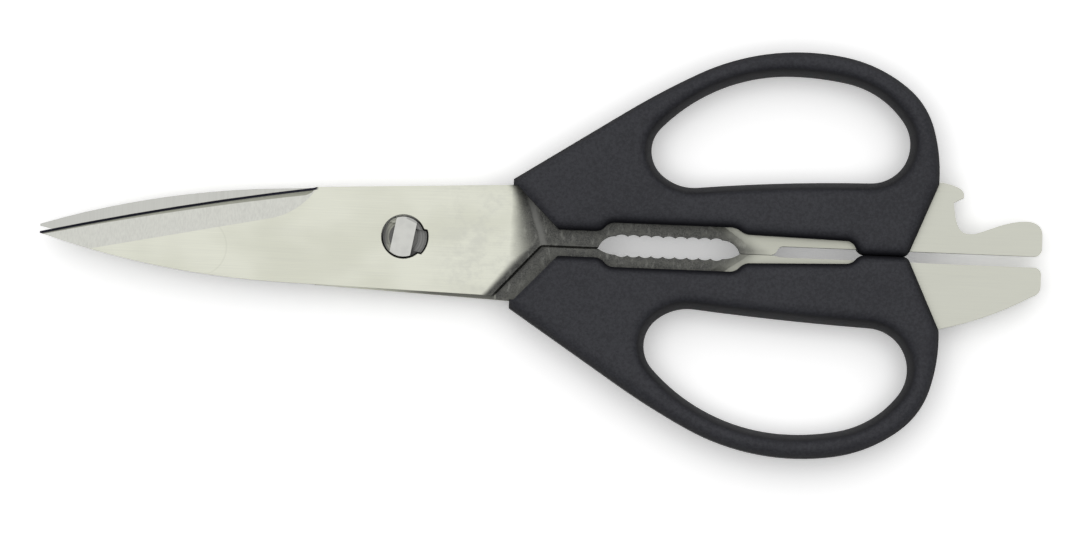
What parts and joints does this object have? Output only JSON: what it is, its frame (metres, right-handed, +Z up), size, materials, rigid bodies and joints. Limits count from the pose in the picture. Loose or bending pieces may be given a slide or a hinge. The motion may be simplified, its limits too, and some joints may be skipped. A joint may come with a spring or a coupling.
{
  "type": "kitchen shears",
  "caption": "Take-apart kitchen shears: two crossed steel blades on a keyed stud, moulded finger bows, toothed jaw, crown-cap opener and lid-lifter tails.",
  "frame": {"origin": "middle of the bounding box, on the flat surface that the handles lie on", "axes": "+X from the blade tips to the tails, +Y to the upper handle, +Z up off the surface, parallel to the pivot"},
  "size_m": [0.216, 0.0874, 0.011],
  "materials": {
    "front_steel": "satin ground stainless steel, tumbled dark at the tang",
    "rear_steel": "satin ground stainless steel, tumbled dark at the tang",
    "stud_steel": "turned stainless steel",
    "upper_plastic": "finely grained black moulded plastic",
    "lower_plastic": "finely grained black moulded plastic"
  },
  "bodies": {
    "lower_half": {"rear_blade": "rear_steel", "pivot_stud": "stud_steel", "lower_handle": "lower_plastic"},
    "upper_half": {"front_blade": "front_steel", "upper_handle": "upper_plastic"}
  },
  "joints": [
    {"name": "pivot", "type": "hinge", "parent": "lower_half", "child": "upper_half", "pos_m": [-0.02962, 0.00065, 0.0055], "axis": [0, 0, 1], "range_deg": [0, 118]}
  ]
}
